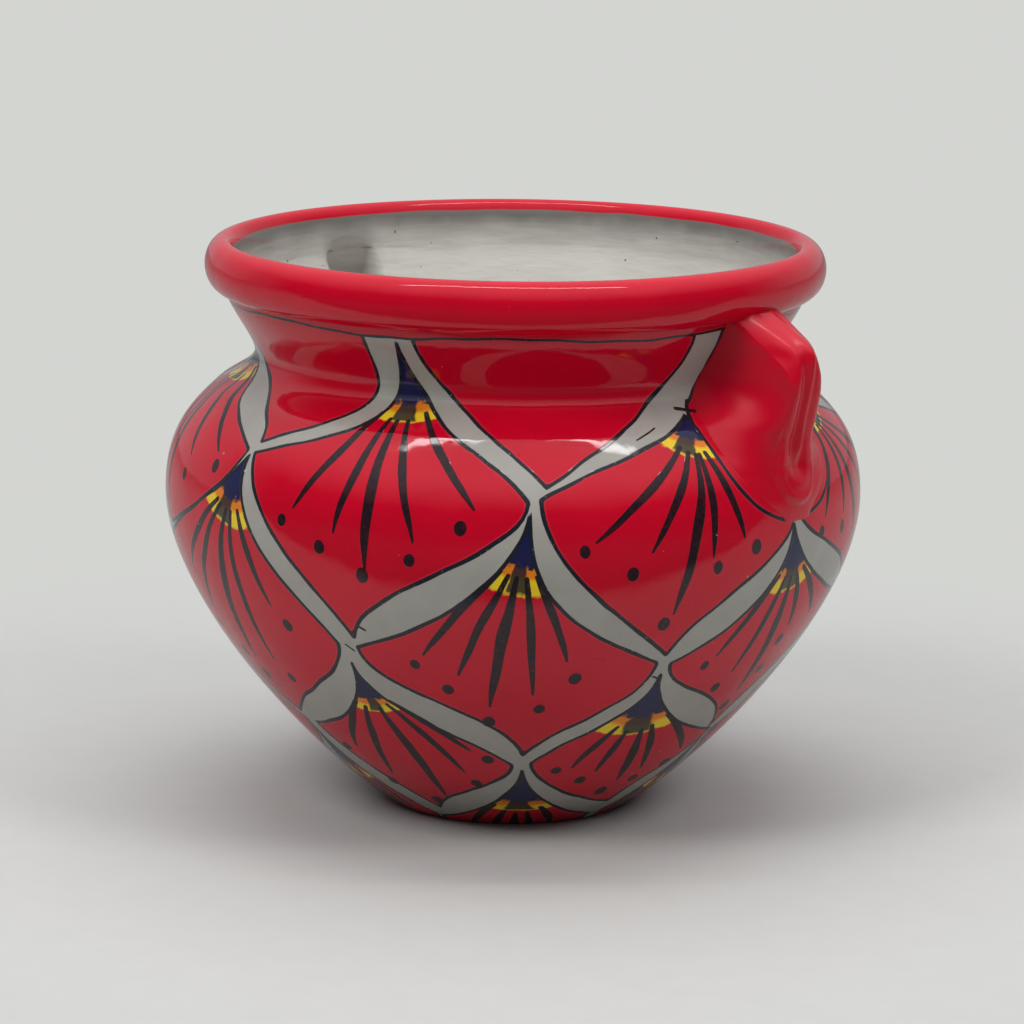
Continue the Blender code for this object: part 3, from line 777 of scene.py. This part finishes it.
def brush_strokes(panel):
    """The panel's five strokes, each a bowed line with its half width, and the middles of its dots."""
    top, bottom = np.array(panel["top"], float), np.array(panel["bottom"], float)
    half = (panel["right"][0] - panel["left"][0]) / 2

    def spread(shares):
        return [tuple(top + (bottom - top) * v + (u * half, 0.0)) for u, v in shares]

    fan = panel["fan"] or spread(FAN)
    dots = panel["dots"] or spread(DOTS)
    middle = np.array(fan_root(panel))
    radius = np.interp(middle[1], wall_heights, wall_radii)
    strokes = []
    for k, tip in enumerate(fan):
        run = np.array(tip, float) - middle
        start = panel["tip"][1] - panel["tip"][0] * FAN_SPOT - 1.5
        root = middle + run * min(start / np.hypot(np.radians(run[0]) * radius, run[1]), 0.6)
        bend = (root + np.array(tip, float)) / 2 + (run[0] * 0.05, 0.0)
        t = np.linspace(0.0, 1.0, 14)[:, None]
        line = root * (1 - t) ** 2 + bend * 2 * t * (1 - t) + np.array(tip, float) * t * t
        full = MIDDLE_STROKE if k == 2 else STROKE
        strokes.append((line, np.interp(t[:, 0], (0.0, 0.4, 0.8, 1.0), (1.1, full, full * 0.72, 0.6))))
    return strokes, dots


strokes, dot_places = [], []
for panel in panels:
    if panel["tip"] is not PLAIN:
        lines, marks = brush_strokes(panel)
        strokes += lines
        dot_places += [(az, z, DOT + DOT_MORE * ((7 * i + len(dot_places)) % 5) / 4)
                       for i, (az, z) in enumerate(marks)]
# Slips of the brush: a blot at one leaf's tip, a stray dash beside it, and barbs where lines meet
slips = [((34.5, 208.5), (40.0, 206.0), 1.2), ((35.8, 204.5), (38.2, 210.5), 1.0),
         ((22.5, 198.5), (27.0, 202.5), 0.5), ((-26.0, 114.2), (-24.9, 112.6), 0.7),
         ((26.6, 89.5), (28.4, 87.6), 0.6), ((-29.6, 104.0), (-28.0, 101.0), 0.5)]
for a, b, width in slips:
    line = np.linspace(a, b, 6)
    strokes.append((line, np.full(6, width)))


def keep_nearest(kept, gap, value, faces, corners, slot):
    """Keeps for each face the two marks nearest to it, with what its corners measure to them."""
    first = gap < kept["gap"][0][faces]
    second = ~first & (gap < kept["gap"][1][faces])
    at, held = first[slot], corners[first[slot]]
    kept["value"][1][held] = kept["value"][0][held]
    kept["value"][0][held] = value[at]
    kept["gap"][1][faces[first]] = kept["gap"][0][faces[first]]
    kept["gap"][0][faces[first]] = gap[first]
    at = second[slot]
    kept["value"][1][corners[at]] = value[at]
    kept["gap"][1][faces[second]] = gap[second]


def brush_lattice(mesh):
    """Brushes the lattice on a piece: each corner of each face measures its way to the marks."""
    count = len(mesh.vertices)
    co = rows(mesh.vertices, "co").astype(float) * 1000.0
    angle = np.arctan2(co[:, 1], co[:, 0])
    radius = np.hypot(co[:, 0], co[:, 1])
    arc = arc_up(co[:, 2])
    # The hand wavers by a few tenths of a millimetre
    waver = 0.20 * np.sin(20 * angle + arc / 6.1) + 0.08 * np.sin(65 * angle - arc / 7.3 + 1.7)
    az = np.degrees(angle + waver / np.maximum(radius, 30.0)) - FRONT
    arc = arc + 0.20 * np.sin(32 * angle + arc / 8.1 + 0.6) + 0.08 * np.sin(arc / 3.7 - 24 * angle)
    verts = np.empty(len(mesh.loops), np.int32)
    mesh.loops.foreach_get("vertex_index", verts)
    starts = np.empty(len(mesh.polygons), np.int32)
    totals = np.empty(len(mesh.polygons), np.int32)
    mesh.polygons.foreach_get("loop_start", starts)
    mesh.polygons.foreach_get("loop_total", totals)
    corner_face = np.repeat(np.arange(len(starts)), totals)

    def new_marks(blank):
        value = np.tile(np.array(blank, np.float32), (2, len(verts), 1))
        return {"gap": np.full((2, len(starts)), 1e6), "value": value}

    def add_mark(kept, mask, away, value, blank):
        """Offers a mark to the faces it may reach; away and value are given where mask is true."""
        faces = np.flatnonzero(np.logical_or.reduceat(mask[verts], starts))
        chosen = np.zeros(len(starts), bool)
        chosen[faces] = True
        corners = np.flatnonzero(chosen[corner_face])
        slot = np.repeat(np.arange(len(faces)), totals[faces])
        all_away = np.full(count, 1e4)
        all_away[mask] = away
        all_value = np.tile(np.array(blank, np.float32), (count, 1))
        all_value[mask] = value
        mean = np.bincount(slot, all_away[verts[corners]], len(faces)) / totals[faces]
        keep_nearest(kept, mean, all_value[verts[corners]], faces, corners, slot)

    under_line = (arc_up(np.array(LINE_HEIGHT)) + 1.1 * np.sin(angle * 7 + 1.0) - arc) * 1.5
    bare = (-90.0, 9.0, 50.0)
    zones = new_marks(bare)
    outlines = [(outline(p), p) for p in panels] + [(field, None) for field in ear_fields]
    for points, panel in outlines:
        mask = near_mask(points, az, arc, radius, 26.0)
        if not mask.any():
            continue
        x, y = local(points, az[mask], arc[mask], radius[mask])
        gap = nearest_step(x, y, True)[0]
        depth = np.minimum(np.where(inside(x, y), gap, -gap), under_line[mask])
        reach = np.full(len(depth), 9.0)
        aside = np.full(len(depth), 50.0)
        if panel and panel["tip"] is not PLAIN:
            ends = np.array([panel["top"], fan_root(panel)], float)
            tx, ty = local(ends, az[mask], arc[mask], radius[mask])
            tip = panel["tip"]
            reach = np.interp(np.hypot(tx[:, 0], ty[:, 0]), (0.0, *tip, tip[2] + 60.0), (0, 1, 2, 3, 9))
            run_x, run_y = tx[:, 1] - tx[:, 0], ty[:, 1] - ty[:, 0]
            aside = np.abs(tx[:, 0] * run_y - ty[:, 0] * run_x) / np.hypot(run_x, run_y)
        add_mark(zones, mask, -depth, np.stack([depth, reach, aside], 1), bare)
    everywhere = np.ones(count, bool)
    value = np.stack([-under_line, np.full(count, 9.0), np.full(count, 50.0)], 1)
    add_mark(zones, everywhere, under_line, value, bare)

    unmarked = (90.0, 90.0, 0.0)
    lines = new_marks(unmarked)
    for points, width in strokes:
        mask = near_mask(points, az, arc, radius, 9.0)
        if not mask.any():
            continue
        x, y = local(points, az[mask], arc[mask], radius[mask])
        gap, share, side, index, length = nearest_step(x, y, False)
        past = np.where(index == 0, np.maximum(-share, 0.0), 0.0)
        past += np.where(index == len(points) - 2, np.maximum(share - 1.0, 0.0), 0.0)
        half = np.interp(index + np.clip(share, 0.0, 1.0), np.arange(len(width)), width)
        add_mark(lines, mask, gap - half, np.stack([side, past * length, half], 1), unmarked)

    spots = new_marks(unmarked)
    for dot_az, dot_z, size in dot_places:
        point = np.array([(dot_az, dot_z)], float)
        mask = near_mask(point, az, arc, radius, 12.0)
        if not mask.any():
            continue
        x, y = local(point, az[mask], arc[mask], radius[mask])
        x, y = x[:, 0], y[:, 0] * 0.84
        add_mark(spots, mask, np.hypot(x, y), np.stack([x, y, np.full(len(x), size)], 1), unmarked)

    near, beside = zones["value"]
    sets = {"leaf": np.stack([near[:, 0], beside[:, 0], near[:, 1]], 1),
            "leaf_middle": near[:, 2:] * (1.0, 0.0, 0.0), "stroke": lines["value"][0],
            "stroke_beside": lines["value"][1], "dot": spots["value"][0]}
    for name, values in sets.items():
        layer = mesh.attributes.new(name, "FLOAT_VECTOR", "CORNER")
        layer.data.foreach_set("vector", values.astype(np.float32).ravel())


for piece in (foot, *body_nodes):
    brush_lattice(piece.data)

# Glaze: a glossy red over the whole outside, with a painted highlight along the outlines as a paler red
# fringe, and with the soft ripples, pinholes and small specks of a hand-dipped and hand-brushed piece.
RED = (0.60, 0.001, 0.020, 1)
RED_DEEP = (0.46, 0.0005, 0.015, 1)
# Paler red: where the glaze is thin, and also the painted highlight along the outlines
RED_THIN_AND_SHEEN = (0.62, 0.06, 0.07, 1)
BAND = (0.40, 0.385, 0.35, 1)
BAND_DARK = (0.31, 0.295, 0.265, 1)
INK = (0.012, 0.014, 0.022, 1)
BLUE = (0.010, 0.012, 0.085, 1)
ORANGE = (0.72, 0.20, 0.01, 1)
YELLOW = (0.80, 0.56, 0.02, 1)
SOAKED_INK = (0.014, 0.008, 0.012, 1)
LINE_THIN = 0.5
LINE_PRESS = 0.9


def red_color(tree, place):
    """The red glaze's colour: deeper where it lies thick."""
    thick = grain(tree, place, 0.05, 3.0, 0.55, 1.0)
    color = blend(tree, thick, RED_DEEP, RED)
    fine = grain(tree, place, 0.004, 3.0, 0.6, 4.0)
    return blend(tree, times(tree, fine, 0.04), color, RED_THIN_AND_SHEEN)


def gloss(tree, shader, place, extra=(), least=0.035):
    """Gloss, ripples and pinholes that all the outer glaze shares."""
    shader.inputs["IOR"].default_value = 1.5
    rough = grain(tree, place, 0.012, 2.0, 0.5, 7.0)
    tree.links.new(scaled(tree, rough, 0.06, least), shader.inputs["Roughness"])
    ripple = grain(tree, place, 0.028, 1.0, 0.4, 9.0)
    peel = grain(tree, place, 0.006, 1.0, 0.4, 11.0)
    pins = below(tree, grain(tree, place, 0.0022, 1.0, 0.5, 13.0), 0.22, 0.03)
    pins = calc(tree, "SUBTRACT", 1.0, pins)
    relief(tree, shader, [(ripple, 0.0009), (peel, 0.00008), (pins, 0.0002)] + list(extra))


def red_glaze():
    """Plain red glaze of the ears, a little duller than the rest."""
    material, tree, shader, place = finish("red_glaze")
    tree.links.new(red_color(tree, place), shader.inputs["Base Color"])
    gloss(tree, shader, place, least=0.20)
    return material


def apart_by(tree, x, y):
    """The length of a way whose two parts are given."""
    return calc(tree, "SQRT", calc(tree, "ADD", times(tree, x, x), times(tree, y, y)))


def rim_glaze():
    """Red glaze of the rim, with the lining drawn up to a wavering edge inside its top."""
    material, tree, shader, place = finish("rim_glaze")
    x, y, z = split(tree, place)
    waver = grain(tree, place, 0.03, 2.0, 0.5, 15.0)
    height = calc(tree, "ADD", z, scaled(tree, waver, 0.002, -0.001))
    lined = times(tree, below(tree, apart_by(tree, x, y), 0.1365, 0.0003),
                  below(tree, height, 0.2652, 0.0003))
    color = blend(tree, lined, red_color(tree, place), lining_color(tree, place))
    tree.links.new(color, shader.inputs["Base Color"])
    gloss(tree, shader, place)
    return material


def lattice_glaze():
    """The brushed lattice under the glaze, read from what each corner measures."""
    material, tree, shader, place = finish("lattice_glaze")

    def read(name):
        attribute = paint_node(tree, "ShaderNodeAttribute", attribute_name=name)
        return split(tree, attribute.outputs["Vector"])

    depth, beside, reach = read("leaf")
    aside = read("leaf_middle")[0]
    waver = scaled(tree, grain(tree, place, 0.007, 2.0, 0.5, 21.0), 1.0, -0.5)
    depth = calc(tree, "ADD", depth, times(tree, waver, 0.4))
    beside = calc(tree, "SUBTRACT", beside, times(tree, waver, 0.4))
    press = grain(tree, place, 0.013, 2.0, 0.5, 23.0)
    half_line = scaled(tree, press, LINE_PRESS, LINE_THIN)

    band_cloud = grain(tree, place, 0.016, 3.0, 0.6, 25.0)
    color = blend(tree, band_cloud, BAND_DARK, BAND)
    rough_edge = scaled(tree, grain(tree, place, 0.003, 2.0, 0.6, 27.0), 0.5, -0.25)
    reach = calc(tree, "ADD", reach, rough_edge)
    leafed = red_color(tree, place)
    dab = blend(tree, below(tree, reach, 1.75, 0.20), YELLOW, ORANGE)
    leafed = blend(tree, below(tree, reach, 2.9, 0.08), leafed, dab)
    # The strokes run together at their roots, so the dab shows mostly at the leaf's two sides
    share = calc(tree, "DIVIDE", aside, calc(tree, "ADD", aside, calc(tree, "MAXIMUM", depth, 0.5)))
    streak = scaled(tree, grain(tree, place, 0.03, 4.0, 0.6, 35.0), 1.1, -0.12)
    pooled = times(tree, below(tree, share, streak, 0.04), below(tree, reach, 2.75, 0.12))
    leafed = blend(tree, times(tree, pooled, 0.93), leafed, INK)
    inked_blue = blend(tree, calc(tree, "MULTIPLY", reach, 0.5, clamp=True), BLUE, INK)
    leafed = blend(tree, below(tree, reach, 1.0, 0.06), leafed, inked_blue)
    in_leaf = below(tree, times(tree, depth, -1.0), 0.0, 0.15)
    color = blend(tree, in_leaf, color, leafed)
    # Painted highlight: a paler red fringe inside each leaf along its outline, away from the tip, standing
    # for light caught by the raised lines
    painted_highlight = times(tree, below(tree, depth, calc(tree, "ADD", half_line, 0.55), 0.25), in_leaf)
    painted_highlight = times(tree, painted_highlight, calc(tree, "GREATER_THAN", reach, 3.0))
    color = blend(tree, times(tree, painted_highlight, 0.28), color, RED_THIN_AND_SHEEN)

    ink = []
    for name in ("stroke", "stroke_beside"):
        across, past, half = read(name)
        away = calc(tree, "ADD", apart_by(tree, across, past), times(tree, waver, 0.22))
        ink.append(below(tree, away, half, 0.12))
    x, y, size = read("dot")
    away = calc(tree, "ADD", apart_by(tree, x, y), times(tree, waver, 0.5))
    ink.append(below(tree, away, size, 0.15))
    inked = ink[0]
    for other in ink[1:]:
        inked = calc(tree, "MAXIMUM", inked, other)
    worn = grain(tree, place, 0.0025, 2.0, 0.6, 31.0)
    starved = calc(tree, "MULTIPLY_ADD", worn, 0.25, 0.86, clamp=True)
    color = blend(tree, times(tree, inked, starved), color, SOAKED_INK)
    for side in (depth, beside):
        lined = below(tree, calc(tree, "ABSOLUTE", side), half_line, 0.14)
        dry = below(tree, grain(tree, place, 0.0016, 1.0, 0.5, 29.0), 0.30, 0.04)
        lined = times(tree, lined, scaled(tree, dry, -0.45, 1.0))
        color = blend(tree, lined, color, INK)
        inked = calc(tree, "MAXIMUM", inked, lined)
    specks = below(tree, grain(tree, place, 0.004, 1.0, 0.5, 33.0), 0.20, 0.012)
    color = blend(tree, times(tree, specks, 0.6), color, (0.55, 0.48, 0.44, 1))
    tree.links.new(color, shader.inputs["Base Color"])
    gloss(tree, shader, place, [(inked, 0.00006)])
    return material


LATTICE = lattice_glaze()
RED_GLAZE = red_glaze()
RIM_GLAZE = rim_glaze()
foot.data.materials[1] = LATTICE
for piece in body_nodes:
    piece.data.materials[0] = LATTICE
rim.data.materials[0] = RIM_GLAZE
for ear in ears:
    ear.data.materials[0] = RED_GLAZE

# Floor: a pale sheet under the planter. Farther off the camera sees a plain pale ground that runs on
# to the horizon. The glaze mirrors the sheet dimly, and only as far as 0.3 m in front.
SHEET_SEEN = 0.42
MIRRORED_TO = 0.30
SHEET = (0.535, 0.535, 0.52, 1)
SHEET_DARK = (0.49, 0.49, 0.475, 1)
SHEET_MIRRORED = (0.03, 0.03, 0.03, 1)
GROUND = (0.655, 0.665, 0.64, 1)


def toward_viewer(tree, x, y):
    """How far a place or a direction goes towards the viewer."""
    return calc(tree, "ADD", times(tree, x, math.cos(VIEW_SIDE)), times(tree, y, math.sin(VIEW_SIDE)))


def sheet_finish():
    """The sheet's matte colour, dim in mirrored rays, and the plain ground that the camera sees."""
    material, tree, shader, place = finish("pale_sheet")
    x, y, _ = split(tree, place)
    light_path = paint_node(tree, "ShaderNodeLightPath")
    color = blend(tree, grain(tree, place, 0.02, 4.0, 0.6), SHEET_DARK, SHEET)
    dim = calc(tree, "SUBTRACT", 1.0, below(tree, toward_viewer(tree, x, y), MIRRORED_TO, 0.03))
    dim = times(tree, scaled(tree, dim, 0.65, 0.30), light_path.outputs["Is Glossy Ray"])
    tree.links.new(blend(tree, dim, color, SHEET_MIRRORED), shader.inputs["Base Color"])
    shader.inputs["Roughness"].default_value = 0.6
    far_off = calc(tree, "SUBTRACT", 1.0, below(tree, apart_by(tree, x, y), SHEET_SEEN, 0.12))
    ground = paint_node(tree, "ShaderNodeEmission")
    ground.inputs["Color"].default_value = GROUND
    both = paint_node(tree, "ShaderNodeMixShader")
    tree.links.new(times(tree, far_off, light_path.outputs["Is Camera Ray"]), both.inputs["Fac"])
    tree.links.new(shader.outputs[0], both.inputs[1])
    tree.links.new(ground.outputs[0], both.inputs[2])
    tree.links.new(both.outputs[0], tree.nodes["Material Output"].inputs["Surface"])
    return material


round_sheet = bmesh.new()
bmesh.ops.create_circle(round_sheet, cap_ends=True, radius=14.0, segments=128)
floor = shaped("pale_sheet", round_sheet, [sheet_finish()])

# Light: a soft panel overhead and one at each side in front, a long thin lamp above that draws the
# bright streaks along the rim and shoulder, and a room that is pale above and behind, dim in front.


def soft_panel(name, spot, aim, width, height, power, mirrored_in_glaze=False):
    """A rectangular lamp that looks from its spot to its aim, both in the viewer's directions."""
    turn = Matrix.Rotation(VIEW_SIDE + math.pi / 2, 3, "Z")
    lamp = bpy.data.lights.new(name, "AREA")
    lamp.shape = "RECTANGLE"
    lamp.size = width
    lamp.size_y = height
    lamp.energy = power
    lamp_object = put_in(name, lamp)
    start, end = turn @ Vector(spot), turn @ Vector(aim)
    lamp_object.location = start
    lamp_object.rotation_euler = (end - start).to_track_quat("-Z", "Y").to_euler()
    lamp_object.visible_camera = False
    lamp_object.visible_glossy = mirrored_in_glaze


soft_panel("overhead", (0.0, 0.25, 2.1), (0.0, 0.1, 0.1), 1.8, 1.4, 18.0)
soft_panel("front_left", (-1.2, -1.3, 2.0), (0.0, 0.0, 0.15), 0.8, 0.8, 25.5)
soft_panel("front_right", (1.4, -1.0, 1.9), (0.0, 0.0, 0.15), 0.7, 0.7, 15.0)
soft_panel("streak", (0.0, -0.25, 2.2), (0.0, 0.0, 0.2), 1.9, 0.09, 6.5, True)
ROOM_LOW = 0.04
ROOM_HIGH = 0.75
ROOM_BEHIND = 0.40
world = bpy.data.worlds.new("room")
world.use_nodes = True
room = world.node_tree
x, y, z = split(room, paint_node(room, "ShaderNodeTexCoord").outputs["Generated"])
ceiling = below(room, times(room, z, -1.0), -0.62, 0.22)
glow = room.nodes["Background"]
glow.inputs["Color"].default_value = (0.95, 0.97, 1.0, 1)
behind_pot = below(room, toward_viewer(room, x, y), -0.25, 0.25)
walls = scaled(room, behind_pot, ROOM_BEHIND - ROOM_LOW, ROOM_LOW)
level = times(room, calc(room, "SUBTRACT", 1.0, ceiling), walls)
room.links.new(scaled(room, ceiling, ROOM_HIGH, level), glow.inputs["Strength"])
backdrop = paint_node(room, "ShaderNodeBackground")
backdrop.inputs["Color"].default_value = GROUND
either = paint_node(room, "ShaderNodeMixShader")
room.links.new(paint_node(room, "ShaderNodeLightPath").outputs["Is Camera Ray"], either.inputs["Fac"])
room.links.new(glow.outputs[0], either.inputs[1])
room.links.new(backdrop.outputs[0], either.inputs[2])
room.links.new(either.outputs[0], room.nodes["World Output"].inputs["Surface"])
bpy.context.scene.world = world
bpy.context.scene.view_settings.view_transform = "Standard"
